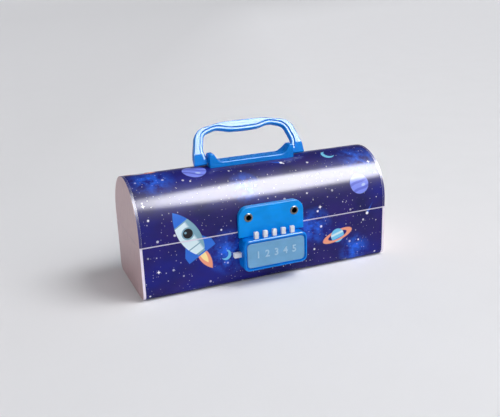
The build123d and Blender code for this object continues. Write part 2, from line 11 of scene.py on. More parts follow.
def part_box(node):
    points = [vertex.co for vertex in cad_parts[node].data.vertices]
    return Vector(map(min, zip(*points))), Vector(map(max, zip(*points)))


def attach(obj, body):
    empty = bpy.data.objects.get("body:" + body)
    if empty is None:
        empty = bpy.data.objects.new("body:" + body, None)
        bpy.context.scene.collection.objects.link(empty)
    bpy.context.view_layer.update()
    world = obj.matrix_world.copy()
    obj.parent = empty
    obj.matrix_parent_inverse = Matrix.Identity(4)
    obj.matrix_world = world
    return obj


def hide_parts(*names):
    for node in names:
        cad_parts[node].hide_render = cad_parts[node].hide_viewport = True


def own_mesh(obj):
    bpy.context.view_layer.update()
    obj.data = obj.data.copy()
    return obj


bl_info = {
    "name": "Pencil Box With Code Lock",
    "version": (1, 0, 0),
    "blender": (4, 5, 0),
    "location": "View3D > Sidebar > Pencil Box",
    "description": "Dresses the packed solids of a pencil box and sets its studio",
    "category": "Object",
}

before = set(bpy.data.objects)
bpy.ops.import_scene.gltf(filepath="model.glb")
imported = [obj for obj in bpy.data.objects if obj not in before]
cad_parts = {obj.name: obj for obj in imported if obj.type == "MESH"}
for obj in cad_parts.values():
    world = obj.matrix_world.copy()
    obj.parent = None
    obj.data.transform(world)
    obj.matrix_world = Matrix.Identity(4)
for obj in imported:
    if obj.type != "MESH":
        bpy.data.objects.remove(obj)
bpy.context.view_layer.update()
MM = 0.001

# Places on the solids that the print follows, in millimetres
COVER_LOW, COVER_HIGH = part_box("lid_cover")
PANEL_LOW, PANEL_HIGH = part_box("lock_panel")
END_LOW, END_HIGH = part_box("lid_end_right")
LID_RADIUS = (COVER_HIGH.y - COVER_LOW.y) / 2 / MM
ARCH_CENTRE = COVER_HIGH.z / MM - LID_RADIUS
END_FACE = END_HIGH.x / MM
END_BACK = END_LOW.x / MM
BACK_START = ARCH_CENTRE + pi * LID_RADIUS


def swatch(name, description, colour):
    """A colour that a user picks, in the screen's own values."""
    return FloatVectorProperty(
        name=name, description=description, default=colour, subtype="COLOR_GAMMA", size=3, min=0, max=1
    )


def share(name, description, value):
    """A number from 0 to 1."""
    return FloatProperty(
        name=name, description=description, default=value, subtype="FACTOR", min=0, max=1
    )


def length(name, description, millimetres):
    """A length, kept in metres."""
    return FloatProperty(
        name=name, description=description, default=millimetres * MM, subtype="DISTANCE", unit="LENGTH"
    )


def angle(name, description, degrees):
    """An angle, kept in radians."""
    return FloatProperty(
        name=name, description=description, default=radians(degrees), subtype="ANGLE", unit="ROTATION"
    )


def strength(name, description, value, unit="NONE"):
    """How strong a lamp or the air is."""
    return FloatProperty(name=name, description=description, default=value, unit=unit, min=0)


class PrintedSheetSettings(bpy.types.PropertyGroup):
    night: swatch("Night", "Darkest ground of the print", (0.03, 0.015, 0.34))
    violet: swatch("Violet", "Ground where the print turns violet", (0.12, 0.04, 0.42))
    deep_blue: swatch("Deep blue", "Wide blue clouds", (0.03, 0.06, 0.50))
    cloud_blue: swatch("Cloud blue", "Hearts of the blue clouds", (0.10, 0.40, 0.92))
    star: swatch("Star", "Star dots", (0.98, 0.97, 1.0))
    hull: swatch("Hull", "Pale skin of the rockets", (0.86, 0.94, 0.97))
    hull_shade: swatch("Hull shade", "Shaded side and lines of the rockets", (0.49, 0.66, 0.74))
    porthole: swatch("Porthole", "Dark round windows", (0.09, 0.08, 0.10))
    fin: swatch("Fin", "Fins and nose of the rockets", (0.16, 0.43, 0.85))
    flame: swatch("Flame", "Flames and planet rings", (0.95, 0.62, 0.50))
    flame_core: swatch("Flame core", "Hot middle of the flames", (1.0, 0.90, 0.62))
    planet: swatch("Planet", "Banded planets", (0.50, 0.56, 0.94))
    planet_band: swatch("Planet band", "Darker bands of the planets", (0.31, 0.36, 0.80))
    ice: swatch("Ice", "Small ringed planets and moons", (0.45, 0.78, 0.93))
    roughness: share("Roughness", "Roughness of the ink under the film", 0.5)
    film: share("Film", "Strength of the clear film on the print", 0.3)
    film_roughness: share("Film roughness", "Roughness of the clear film", 0.13)


class PaperSettings(bpy.types.PropertyGroup):
    end_paper: swatch("End paper", "Satin paper on the end panels", (0.81, 0.675, 0.69))
    end_shade: swatch("End shade", "Scuffs in the end paper", (0.74, 0.61, 0.625))
    bare_edge: swatch("Bare edge", "White edges where no print reaches", (0.93, 0.90, 0.97))
    board: swatch("Board", "Grey board", (0.80, 0.78, 0.80))
    lining: swatch("Lining", "White lining paper", (0.875, 0.875, 0.89))


class MouldingSettings(bpy.types.PropertyGroup):
    plate: swatch("Hasp plate", "Bright blue of the hasp plate", (0.0, 0.60, 0.97))
    housing: swatch("Housing", "Blue of the lock housing", (0.0, 0.50, 0.90))
    panel: swatch("Panel", "Pale blue of the inlaid panel", (0.46, 0.67, 0.83))
    digit: swatch("Digit", "Raised digits on the panel", (0.66, 0.80, 0.90))
    handle: swatch("Handle", "Blue of the bracket and the grip", (0.0, 0.53, 0.92))
    key: swatch("Key", "White of the keys and the side button", (0.93, 0.93, 0.95))
    plate_inside: swatch("Back plate", "Dark plate inside the lock", (0.06, 0.14, 0.30))
    gloss: share("Gloss roughness", "Roughness of the handle's plastic", 0.22)
    satin: share("Satin roughness", "Roughness of the lock's plastic", 0.34)
    digit_height: length("Digit height", "Height of the digits", 5.6)
    digit_relief: length("Digit relief", "How far the digits stand out", 0.25)


class MetalSettings(bpy.types.PropertyGroup):
    nickel: swatch("Nickel", "Nickel plated eyelets", (0.50, 0.49, 0.48))
    zinc: swatch("Zinc", "Screws, washers and plate", (0.76, 0.76, 0.78))
    wire: swatch("Wire", "Spring wire", (0.68, 0.68, 0.70))


class StudioSettings(bpy.types.PropertyGroup):
    floor: swatch("Floor", "Pale floor and backdrop", (0.94, 0.942, 0.957))
    distance: length("Camera distance", "From the camera to the point it looks at", 568.49)
    azimuth: angle("Camera azimuth", "Turn of the camera about the box", -22.06)
    elevation: angle("Camera elevation", "Height angle of the camera", 18.13)
    roll: angle("Camera roll", "Tilt of the camera", -2.07)
    focal: FloatProperty(
        name="Focal length", description="Lens of the camera", default=49.28, subtype="DISTANCE_CAMERA"
    )
    key_power: strength("Key strength", "Strength of the key light", 1.45)
    front_power: strength("Front strength", "Strength of the front light", 1.55)
    side_power: strength("Side strength", "Strength of the side light", 0.11)
    sky_power: strength("Sky strength", "Strength of the light from above", 0.46)
    box_power: strength("Softbox power", "Power of the softbox", 162, unit="POWER")
    air: swatch("Air", "Tint of the even light all round", (0.97, 0.97, 0.985))
    fill: strength("Fill", "Strength of the even light all round", 0.09)


class Number:
    """A number in a material's nodes, worked on with ordinary arithmetic."""

    def __init__(self, tree, socket):
        self.tree = tree
        self.socket = socket

    def work(self, operation, *others):
        node = self.tree.nodes.new("ShaderNodeMath")
        node.operation = operation
        for place, value in enumerate((self, *others)):
            if isinstance(value, Number):
                self.tree.links.new(value.socket, node.inputs[place])
            else:
                node.inputs[place].default_value = value
        return Number(self.tree, node.outputs[0])

    def __add__(self, other):
        return self.work("ADD", other)

    def __sub__(self, other):
        return self.work("SUBTRACT", other)

    def __mul__(self, other):
        return self.work("MULTIPLY", other)

    def __truediv__(self, other):
        return self.work("DIVIDE", other)

    def __abs__(self):
        return self.work("ABSOLUTE")

    def least(self, other):
        return self.work("MINIMUM", other)

    def most(self, other):
        return self.work("MAXIMUM", other)

    def reach(self, other):
        """Length of the arrow that has these two sides."""
        return (self * self + other * other).work("SQRT")

    def ramp(self, low, high):
        """0 below low and 1 above high, straight between; low may be the larger."""
        node = self.tree.nodes.new("ShaderNodeMapRange")
        node.inputs["From Min"].default_value = low
        node.inputs["From Max"].default_value = high
        self.tree.links.new(self.socket, node.inputs["Value"])
        return Number(self.tree, node.outputs["Result"])

    def inside(self, soft):
        """1 where a signed distance in millimetres is below zero, with a soft edge."""
        return self.ramp(soft, -soft)


def linear(colour):
    """A picked colour in the linear values that nodes work in."""
    values = [c / 12.92 if c <= 0.04045 else ((c + 0.055) / 1.055) ** 2.4 for c in colour]
    return (*values, 1.0)


class Finish:
    """A material under construction, with one Principled shader."""

    def __init__(self, name, roughness=0.5, coat=0.0, coat_roughness=0.1, metallic=0.0):
        self.material = bpy.data.materials.new(name)
        self.material.use_nodes = True
        self.tree = self.material.node_tree
        self.shader = self.tree.nodes["Principled BSDF"]
        self.shader.inputs["Roughness"].default_value = roughness
        self.shader.inputs["Metallic"].default_value = metallic
        self.shader.inputs["Coat Weight"].default_value = coat
        self.shader.inputs["Coat Roughness"].default_value = coat_roughness
        self.coordinates = self.tree.nodes.new("ShaderNodeTexCoord").outputs["Object"]

    def place(self):
        """The point's own place on the box, in millimetres: three numbers."""
        split = self.tree.nodes.new("ShaderNodeSeparateXYZ")
        self.tree.links.new(self.coordinates, split.inputs[0])
        return [Number(self.tree, out) * (1 / MM) for out in split.outputs]

    def noise(self, size, detail=3.0, stretch=(1, 1, 1), roughness=0.5, where=None):
        """Noise from 0 to 1 whose clouds are about size millimetres wide."""
        unit = MM if where is None else 1
        mapping = self.tree.nodes.new("ShaderNodeMapping")
        mapping.inputs["Scale"].default_value = [1 / (size * unit * s) for s in stretch]
        self.tree.links.new(where or self.coordinates, mapping.inputs["Vector"])
        node = self.tree.nodes.new("ShaderNodeTexNoise")
        node.inputs["Scale"].default_value = 1.0
        node.inputs["Detail"].default_value = detail
        node.inputs["Roughness"].default_value = roughness
        self.tree.links.new(mapping.outputs[0], node.inputs["Vector"])
        return Number(self.tree, node.outputs[0])

    def mix(self, base, top, amount):
        """Lays a top colour over a base; both may be colours or sockets."""
        node = self.tree.nodes.new("ShaderNodeMix")
        node.data_type = "RGBA"
        ends = [s for s in node.inputs if s.type == "RGBA"]
        for socket, value in zip(ends, (base, top)):
            if isinstance(value, bpy.types.NodeSocket):
                self.tree.links.new(value, socket)
            else:
                socket.default_value = linear(value)
        factor = next(s for s in node.inputs if s.type == "VALUE")
        if isinstance(amount, Number):
            self.tree.links.new(amount.socket, factor)
        else:
            factor.default_value = amount
        return next(s for s in node.outputs if s.type == "RGBA")

    def colour(self, socket):
        """Gives the shader its colour."""
        self.tree.links.new(socket, self.shader.inputs["Base Color"])

    def rough(self, number):
        """Gives the shader its roughness."""
        self.tree.links.new(number.socket, self.shader.inputs["Roughness"])

    def bump(self, height, depth, coat=False):
        """Relief of a given depth in millimetres where height goes from 0 to 1."""
        node = self.tree.nodes.new("ShaderNodeBump")
        node.inputs["Distance"].default_value = depth * MM
        node.inputs["Strength"].default_value = 1.0
        self.tree.links.new(height.socket, node.inputs["Height"])
        self.tree.links.new(node.outputs[0], self.shader.inputs["Normal"])
        if coat:
            self.tree.links.new(node.outputs[0], self.shader.inputs["Coat Normal"])


def dress(finish, *names):
    """Gives CAD nodes a finish."""
    for name in names:
        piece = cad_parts[name]
        if not piece.material_slots:
            piece.data.materials.append(finish.material)
        for slot in piece.material_slots:
            slot.material = finish.material


def turned(x, v, centre, degrees):
    """The print's two numbers as seen from a motif's centre, turned with the motif."""
    a = radians(degrees)
    across = x - centre[0]
    along = v - centre[1]
    return across * cos(a) + along * sin(a), along * cos(a) - across * sin(a)


def lens_shape(u, w, half_width, half_length):
    """Signed distance to a pointed oval that stands along w."""
    swell = half_length * half_length / half_width
    radius = (half_width + swell) / 2
    offset = (swell - half_width) / 2
    side = abs(u) + offset
    return side.reach(w) - radius


def oval(u, w, half_width, half_height):
    """Signed distance, near enough, to an oval."""
    return ((u / half_width).reach(w / half_height) - 1) * min(half_width, half_height)


# The rocket in its own millimetres, upright, with its middle at zero
ROCKET_HALF_WIDTH = 8.2
ROCKET_HALF_LENGTH = 22
ROCKET_TAIL = -15
NOSE_START = 12.5
WINDOW_RISE = 3
WINDOW_RADIUS = 3.9
WINDOW_RIM = 5
FLAME_TOP = -14
FLAME = (-21, 4.2, 12)
FLAME_CORE = (-19, 2.3, 8)
FIN_REACH = 12.5
FIN_BOTTOM = -18
SEAM_RISES = ((-9, 0.5), (12.2, 0.45))
PRINT_EDGE = 0.12


def flame_shape(u, w, flame):
    """Signed distance to a flame: middle, half width and half length."""
    middle, half_width, half_length = flame
    return lens_shape(u, w - middle, half_width, half_length).most(w - FLAME_TOP)


def draw_rocket(finish, colour, x, v, settings, centre, degrees, size):
    """A stout rocket with a porthole, fins and a flame."""
    u, w = turned(x, v, centre, degrees)
    u, w = u / size, w / size
    soft = PRINT_EDGE / size
    colour = finish.mix(colour, settings.flame, flame_shape(u, w, FLAME).inside(soft))
    colour = finish.mix(colour, settings.flame_core, flame_shape(u, w, FLAME_CORE).inside(soft))
    fins = (abs(u) * 0.82 + w * 0.57 - 3.4).most(abs(u) - FIN_REACH).most((w - FIN_BOTTOM) * -1)
    fins = fins.most((abs(u) * 0.35 + w * 0.93 + 19.5) * -1)
    colour = finish.mix(colour, settings.fin, fins.inside(soft))
    body = lens_shape(u, w - 1, ROCKET_HALF_WIDTH, ROCKET_HALF_LENGTH).most((w - ROCKET_TAIL) * -1)
    hull = finish.mix(settings.hull, settings.hull_shade, (u - 3.2).inside(0.9) * -1 + 1)
    hull = finish.mix(hull, settings.fin, (w * -1 + NOSE_START).inside(soft))
    for rise, half_width in SEAM_RISES:
        hull = finish.mix(hull, settings.hull_shade, (abs(w - rise) - half_width).inside(soft))
    window = u.reach(w - WINDOW_RISE)
    hull = finish.mix(hull, settings.hull_shade, (window - WINDOW_RIM).inside(soft))
    hull = finish.mix(hull, settings.porthole, (window - WINDOW_RADIUS).inside(soft))
    glint = (u + 1.2).reach(w - WINDOW_RISE - 1.6) - 0.9
    hull = finish.mix(hull, settings.hull_shade, glint.inside(soft * 2))
    nozzle = (abs(u) - 3.4).most(abs(w - ROCKET_TAIL + 0.6) - 1.1)
    colour = finish.mix(colour, settings.hull_shade, nozzle.inside(soft))
    return finish.mix(colour, hull, body.inside(soft))


# The ringed planet in its own millimetres
RINGED_GLOBE_RADIUS = 5.4
RING_HALF_WIDTH = 10.4
RING_HALF_HEIGHT = 3.5
RING_HALF_BREADTH = 0.75
RING_EDGE = 0.14


def draw_ringed_planet(finish, colour, x, v, settings, centre, degrees, size):
    """A small pale planet with a salmon ring."""
    u, w = turned(x, v, centre, degrees)
    u, w = u / size, w / size
    soft = RING_EDGE / size
    ring = (abs(oval(u, w, RING_HALF_WIDTH, RING_HALF_HEIGHT)) - RING_HALF_BREADTH).inside(soft)
    globe = (u.reach(w) - RINGED_GLOBE_RADIUS).inside(soft)
    skin = finish.mix(settings.ice, settings.hull, (abs(w - 1.4) - 0.8).inside(0.5))
    skin = finish.mix(skin, settings.fin, (abs(w + 2.6) - 0.45).inside(0.4))
    behind = finish.mix(colour, settings.flame, ring)
    colour = finish.mix(behind, skin, globe)
    return finish.mix(colour, settings.flame, ring * w.ramp(0.2, -0.2))


def draw_banded_planet(finish, colour, x, v, settings, centre, degrees, size):
    """A large round planet with wavy bands."""
    u, w = turned(x, v, centre, degrees)
    globe = (u.reach(w) - size).inside(0.15)
    wave = ((w * 0.85 + (u * 0.33).work("SINE") * 0.55) * 1.25).work("SINE")
    skin = finish.mix(settings.planet, settings.planet_band, wave.ramp(0.1, 0.75) * 0.75)
    spot = oval(u - size * 0.35, w + size * 0.3, size * 0.22, size * 0.13).inside(0.25)
    skin = finish.mix(skin, settings.hull, spot * 0.5)
    return finish.mix(colour, skin, globe)


def draw_crescent(finish, colour, x, v, settings, centre, degrees, size):
    """A plain crescent moon."""
    u, w = turned(x, v, centre, degrees)
    moon = (u.reach(w) - size).most(((u - size * 0.45).reach(w) - size * 0.85) * -1)
    return finish.mix(colour, settings.ice, moon.inside(0.15))


def draw_comet(finish, colour, x, v, settings, centre, degrees, size):
    """A comet whose tail fades away along its turn."""
    u, w = turned(x, v, centre, degrees)
    u, w = u / size, w / size
    tail = (abs(w) - (u * -0.09 + 1.1)).inside(0.2) * u.ramp(0, 0.3) * u.ramp(12, 0)
    colour = finish.mix(colour, settings.cloud_blue, tail * 0.9)
    return finish.mix(colour, settings.star, (u.reach(w) - 1.25).inside(0.2))


def draw_sparkle(finish, colour, x, v, settings, centre, size):
    """A four-pointed star."""
    u = x - centre[0]
    w = v - centre[1]
    points = abs(u).work("SQRT") + abs(w).work("SQRT")
    return finish.mix(colour, settings.star, (points * points - size).inside(0.25))


# Where the motifs lie on the laid-out sheet: millimetres along the box, millimetres up the sheet
# from the underside of the front, turn and size. The sheet goes up the front, over and down the back.
MOTIFS = [
    (draw_rocket, (-66, 46), 30, 1.0),
    (draw_rocket, (58, 150), -24, 0.95),
    (draw_rocket, (-40, BACK_START + 22), 60, 0.72),
    (draw_ringed_planet, (60, 25), 16, 1.1),
    (draw_ringed_planet, (-92, 118), -18, 1.15),
    (draw_ringed_planet, (30, BACK_START + 26), -12, 1.2),
    (draw_banded_planet, (82, 66), 20, 8.5),
    (draw_banded_planet, (-50, 103), -24, 9.5),
    (draw_banded_planet, (-84, BACK_START + 18), 15, 8.0),
    (draw_crescent, (-38, 26), 150, 4.2),
    (draw_crescent, (66, 100), 30, 5.5),
    (draw_comet, (88, 40), 60, 1.0),
    (draw_comet, (22, 97), 160, 1.1),
    (draw_comet, (80, BACK_START + 30), 20, 1.3),
]

# Four-pointed stars on the laid-out sheet: middle and reach in millimetres
SPARKLES = [
    ((-92, 22), 2.2), ((-22, 60), 2.0), ((44, 52), 2.2), ((97, 84), 2.4), ((-98, 74), 2.2),
    ((8, 110), 2.4), ((-28, 120), 2.2), ((70, 128), 2.4), ((0, BACK_START + 20), 2.4),
    ((-62, BACK_START + 12), 2.2),
]

# Bright clouds on the laid-out sheet: middle and reach in millimetres
NEBULAS = [
    ((-36, 28), 20), ((38, 36), 18), ((90, 88), 20), ((-16, 78), 15), ((-86, 98), 20),
    ((34, 120), 24), ((-60, 140), 20), ((76, 10), 16), ((-70, BACK_START + 30), 24),
    ((50, BACK_START + 16), 20),
]

# Layers of stars: spacing, smallest and largest radius in millimetres, share of cells that hold one
STAR_LAYERS = ((2.6, 0.07, 0.22, 0.16), (6.5, 0.2, 0.42, 0.22), (15, 0.6, 1.0, 0.45))


def star_dots(finish, sheet_place, spacing, smallest, largest, chance):
    """Round dots of mixed size scattered over the laid-out sheet."""
    scale = finish.tree.nodes.new("ShaderNodeVectorMath")
    scale.operation = "SCALE"
    scale.inputs["Scale"].default_value = 1 / spacing
    finish.tree.links.new(sheet_place, scale.inputs[0])
    cells = finish.tree.nodes.new("ShaderNodeTexVoronoi")
    cells.voronoi_dimensions = "2D"
    cells.inputs["Scale"].default_value = 1.0
    finish.tree.links.new(scale.outputs[0], cells.inputs["Vector"])
    luck = finish.tree.nodes.new("ShaderNodeSeparateColor")
    finish.tree.links.new(cells.outputs["Color"], luck.inputs[0])
    size = Number(finish.tree, luck.outputs[0]) * (largest - smallest) + smallest
    shown = Number(finish.tree, luck.outputs[1]).work("LESS_THAN", chance)
    light = Number(finish.tree, luck.outputs[2]) * 0.65 + 0.3
    distance = Number(finish.tree, cells.outputs["Distance"]) * spacing
    return (distance - size).inside(0.18) * shown * light


def lay_out(y, z):
    """Millimetres up the sheet from the underside of the front, over the arch and down the back."""
    rise = (z - ARCH_CENTRE).most(0)
    drop = (z - ARCH_CENTRE).least(0)
    bend = rise.work("ARCTAN2", y * -1)
    return bend * LID_RADIUS + ARCH_CENTRE - drop * y.work("SIGN")


def lay_print(finish, settings):
    """The printed night sky as one colour socket, wherever a point lies on the sheet."""
    x, y, z = finish.place()
    v = lay_out(y, z)
    join = finish.tree.nodes.new("ShaderNodeCombineXYZ")
    finish.tree.links.new(x.socket, join.inputs[0])
    finish.tree.links.new(v.socket, join.inputs[1])
    sheet_place = join.outputs[0]
    colour = finish.mix(
        settings.night, settings.violet, finish.noise(30, 4, where=sheet_place).ramp(0.38, 0.66)
    )
    wide = finish.noise(46, 3, stretch=(1.2, 0.8, 1), where=sheet_place).ramp(0.45, 0.62)
    colour = finish.mix(colour, settings.deep_blue, wide * 0.85)
    near = None
    for (across, along), reach in NEBULAS:
        spot = (x - across).reach(v - along).ramp(reach, reach * 0.15)
        near = spot if near is None else near.most(spot)
    clouds = finish.noise(9, 7, roughness=0.66, where=sheet_place).ramp(0.40, 0.60)
    colour = finish.mix(colour, settings.deep_blue, near * 0.8)
    colour = finish.mix(colour, settings.cloud_blue, clouds * near)
    dust = finish.noise(1.3, 4, roughness=0.7, where=sheet_place).ramp(0.6, 0.85)
    colour = finish.mix(colour, settings.cloud_blue, dust * (near * 0.5 + 0.1))
    for layer in STAR_LAYERS:
        colour = finish.mix(colour, settings.star, star_dots(finish, sheet_place, *layer))
    for draw, centre, degrees, size in MOTIFS:
        colour = draw(finish, colour, x, v, settings, centre, degrees, size)
    for centre, size in SPARKLES:
        colour = draw_sparkle(finish, colour, x, v, settings, centre, size)
    return colour


def film_relief(finish):
    """Fine unevenness of laminated print on board."""
    fine = finish.noise(0.7, 2)
    slow = finish.noise(12, 2)
    finish.bump(fine * 0.06 + slow, 0.018, coat=True)


class PENCILBOX_OT_printed_sheet(bpy.types.Operator):
    """Lays the printed night sky over the front, the lid, the hinge strip and the back"""

    bl_idname = "pencilbox.printed_sheet"
    bl_label = "Printed Sheet"

    def execute(self, context):
        settings = context.scene.pencilbox_print
        sheet = Finish("printed_sheet", settings.roughness, settings.film, settings.film_roughness)
        sheet.shader.inputs["Specular IOR Level"].default_value = 0.1
        sheet.colour(lay_print(sheet, settings))
        film_relief(sheet)
        dress(sheet, "lid_cover", "base_front_sheet", "base_back_sheet", "cover_hinge")
        under = Finish("underside_paper", 0.4)
        under.colour(under.mix(settings.night, settings.violet, under.noise(2, 4).ramp(0.3, 0.7) * 0.5))
        under.bump(under.noise(0.4, 3), 0.01)
        dress(under, "underside_sheet")
        return {"FINISHED"}


def end_paper(finish, papers):
    """Mauve satin paper with soft upright scuffs."""
    scuffs = finish.noise(5, 5, stretch=(1, 0.6, 2.4), roughness=0.62).ramp(0.42, 0.75)
    fibres = finish.noise(0.35, 3).ramp(0.35, 0.7)
    colour = finish.mix(papers.end_paper, papers.end_shade, scuffs * 0.8)
    return finish.mix(colour, papers.end_shade, fibres * 0.18)


# How far behind an end panel's faces its rim begins, and the soft edge there, in millimetres
RIM_DEPTH = 0.06
RIM_EDGE = 0.01


class PENCILBOX_OT_end_panels(bpy.types.Operator):
    """Papers the end panels: mauve outside, white inside, printed or bare round the rim"""

    bl_idname = "pencilbox.end_panels"
    bl_label = "End Panels"

    def execute(self, context):
        settings = context.scene.pencilbox_print
        papers = context.scene.pencilbox_paper
        for name, nodes, printed in (
            ("lid_end_paper", ("lid_end_left", "lid_end_right"), True),
            ("base_end_paper", ("base_end_left", "base_end_right"), False),
        ):
            ends = Finish(name, 0.42, 0.25, 0.3)
            if printed:
                rim = lay_print(ends, settings)
            else:
                rim = ends.mix(papers.bare_edge, papers.end_paper, ends.noise(3, 4).ramp(0.3, 0.9) * 0.3)
            x = ends.place()[0]
            outside = (abs(x) - (END_FACE - RIM_DEPTH)).ramp(-RIM_EDGE, RIM_EDGE)
            inside = (abs(x) - (END_BACK + RIM_DEPTH)).ramp(RIM_EDGE, -RIM_EDGE)
            colour = ends.mix(rim, end_paper(ends, papers), outside)
            ends.colour(ends.mix(colour, papers.lining, inside))
            ends.bump(ends.noise(0.5, 3) * 0.4 + ends.noise(7, 2), 0.02)
            dress(ends, *nodes)
        return {"FINISHED"}


class PENCILBOX_OT_boards(bpy.types.Operator):
    """Gives the folded boards and the linings their paper"""

    bl_idname = "pencilbox.boards"
    bl_label = "Boards and Linings"

    def execute(self, context):
        papers = context.scene.pencilbox_paper
        board = Finish("faced_board", 0.55)
        layers = board.noise(0.5, 3, stretch=(8, 1, 1)).ramp(0.35, 0.75)
        board.colour(board.mix(papers.bare_edge, papers.board, layers * 0.35))
        board.bump(board.noise(0.3, 3), 0.015)
        dress(board, "base_shell", "lid_shell")
        lining = Finish("lining_paper", 0.62)
        fibres = lining.noise(0.6, 5, roughness=0.65).ramp(0.4, 0.75)
        lining.colour(lining.mix(papers.lining, papers.board, fibres * 0.25))
        lining.bump(lining.noise(0.4, 4), 0.012)
        dress(lining, "base_lining", "lid_lining")
        return {"FINISHED"}


def moulded(name, colour, roughness, coat=0.0, wear=0.1, relief=0.008):
    """Moulded plastic: faint flow marks in the colour, fine relief and uneven gloss."""
    finish = Finish(name, roughness, coat, 0.14)
    finish.shader.inputs["Specular IOR Level"].default_value = 0.11
    flow = finish.noise(7, 3, stretch=(1.8, 1, 1)).ramp(0.3, 0.75)
    darker = [c * (1 - wear) for c in colour]
    finish.colour(finish.mix(colour, darker, flow))
    finish.rough(finish.noise(2.5, 4).ramp(0.2, 0.8) * (roughness * 0.35) + roughness * 0.82)
    finish.bump(finish.noise(0.25, 2) * 0.35 + finish.noise(4, 2), relief, coat=coat > 0)
    return finish


class PENCILBOX_OT_hasp(bpy.types.Operator):
    """Dresses the hasp plate and its eyelets"""

    bl_idname = "pencilbox.hasp"
    bl_label = "Hasp"

    def execute(self, context):
        mouldings = context.scene.pencilbox_mouldings
        dress(moulded("hasp_plastic", mouldings.plate, mouldings.satin), "hasp_plate")
        eyelets = Finish("nickel_plate", 0.3, metallic=1.0)
        tone = context.scene.pencilbox_metals.nickel
        worn = eyelets.noise(0.6, 4).ramp(0.5, 0.85)
        eyelets.colour(eyelets.mix(tone, [c * 0.7 for c in tone], worn * 0.6))
        eyelets.bump(eyelets.noise(0.3, 2), 0.01)
        dress(eyelets, "hasp_rivets")
        return {"FINISHED"}


class PENCILBOX_OT_lock(bpy.types.Operator):
    """Dresses the lock's housing, panel and back plate"""

    bl_idname = "pencilbox.lock"
    bl_label = "Lock"

    def execute(self, context):
        mouldings = context.scene.pencilbox_mouldings
        dress(moulded("housing_plastic", mouldings.housing, mouldings.satin * 0.7, coat=0.08), "lock_housing")
        dress(moulded("back_plate_plastic", mouldings.plate_inside, 0.5), "lock_backplate")
        panel = moulded("panel_plastic", mouldings.panel, mouldings.satin, wear=0.06)
        dress(panel, "lock_panel")
        return {"FINISHED"}


# The font's own height for a digit one high, and how bold and how rounded the digits are
FONT_HEIGHT = 1.42
DIGIT_BOLD = 0.12
DIGIT_ROUND = 0.06


class PENCILBOX_OT_digits(bpy.types.Operator):
    """Raises the plain digits 1 to 5 on the lock's panel, one under each key"""

    bl_idname = "pencilbox.digits"
    bl_label = "Panel Digits"

    def execute(self, context):
        mouldings = context.scene.pencilbox_mouldings
        finish = moulded("digit_plastic", mouldings.digit, mouldings.satin * 0.8, wear=0.05)
        middle = (PANEL_LOW.z + PANEL_HIGH.z) / 2
        for digit in range(1, 6):
            key_low, key_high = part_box(f"code_key_{digit}")
            text = bpy.data.curves.new(f"digit_{digit}", "FONT")
            text.body = str(digit)
            text.align_x = "CENTER"
            text.align_y = "CENTER"
            text.size = mouldings.digit_height * FONT_HEIGHT
            text.extrude = mouldings.digit_relief
            text.offset = DIGIT_BOLD * MM
            text.bevel_depth = DIGIT_ROUND * MM
            text.bevel_resolution = 2
            shape = bpy.data.objects.new("digit_shape", text)
            context.scene.collection.objects.link(shape)
            context.view_layer.update()
            mesh = bpy.data.meshes.new_from_object(shape.evaluated_get(context.evaluated_depsgraph_get()))
            bpy.data.objects.remove(shape)
            place = Vector(((key_low.x + key_high.x) / 2, PANEL_LOW.y, middle))
            mesh.transform(Matrix.Translation(place) @ Matrix.Rotation(pi / 2, 4, "X"))
            mesh.materials.clear()
            mesh.materials.append(finish.material)
            piece = bpy.data.objects.new(f"lock_digit_{digit}", mesh)
            context.scene.collection.objects.link(piece)
            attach(piece, "base")
        return {"FINISHED"}


class PENCILBOX_OT_keys(bpy.types.Operator):
    """Dresses the five code keys and the sliding latch bar with its side button"""

    bl_idname = "pencilbox.keys"
    bl_label = "Keys and Side Button"

    def execute(self, context):
        mouldings = context.scene.pencilbox_mouldings
        white = moulded("white_plastic", mouldings.key, mouldings.satin * 0.8, wear=0.05)
        dress(white, *[f"code_key_{number}" for number in range(1, 6)], "release_slide")
        return {"FINISHED"}


class PENCILBOX_OT_hardware(bpy.types.Operator):
    """Dresses screws, washers and the plate inside the box"""

    bl_idname = "pencilbox.hardware"
    bl_label = "Screws and Washers"

    def execute(self, context):
        metals = context.scene.pencilbox_metals
        zinc = Finish("zinc_plate", 0.34, metallic=1.0)
        zinc.colour(zinc.mix(metals.zinc, [c * 0.8 for c in metals.zinc], zinc.noise(0.8, 4).ramp(0.35, 0.7)))
        zinc.rough(zinc.noise(0.4, 3).ramp(0.2, 0.8) * 0.2 + 0.25)
        zinc.bump(zinc.noise(0.15, 2), 0.006)
        dress(zinc, "lock_screws", "bracket_screws", "lock_inner_plate", "hasp_washers", "bracket_washers")
        return {"FINISHED"}


def coil(context, finish, node):
    """A spring's own copy of its coil in the given finish, fixed to the base, with the CAD node hidden."""
    piece = bpy.data.objects.new(f"{node}_coil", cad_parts[node].data.copy())
    piece.data.materials.clear()
    piece.data.materials.append(finish.material)
    context.scene.collection.objects.link(piece)
    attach(piece, "base")
    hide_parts(node)
    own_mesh(piece)


class PENCILBOX_OT_springs(bpy.types.Operator):
    """Winds the springs so that they shorten with the keys and the latch bar"""
    # Gives the springs their wire finish, each as its own coil fixed to the base

    bl_idname = "pencilbox.springs"
    bl_label = "Springs"

    def execute(self, context):
        tone = context.scene.pencilbox_metals.wire
        wire = Finish("spring_wire", 0.3, metallic=1.0)
        wire.colour(wire.mix(tone, [c * 0.75 for c in tone], wire.noise(0.3, 3).ramp(0.4, 0.7)))
        wire.bump(wire.noise(0.1, 2), 0.004)
        for number in range(1, 6):
            coil(context, wire, f"key_spring_{number}")
        coil(context, wire, "release_spring")
        return {"FINISHED"}


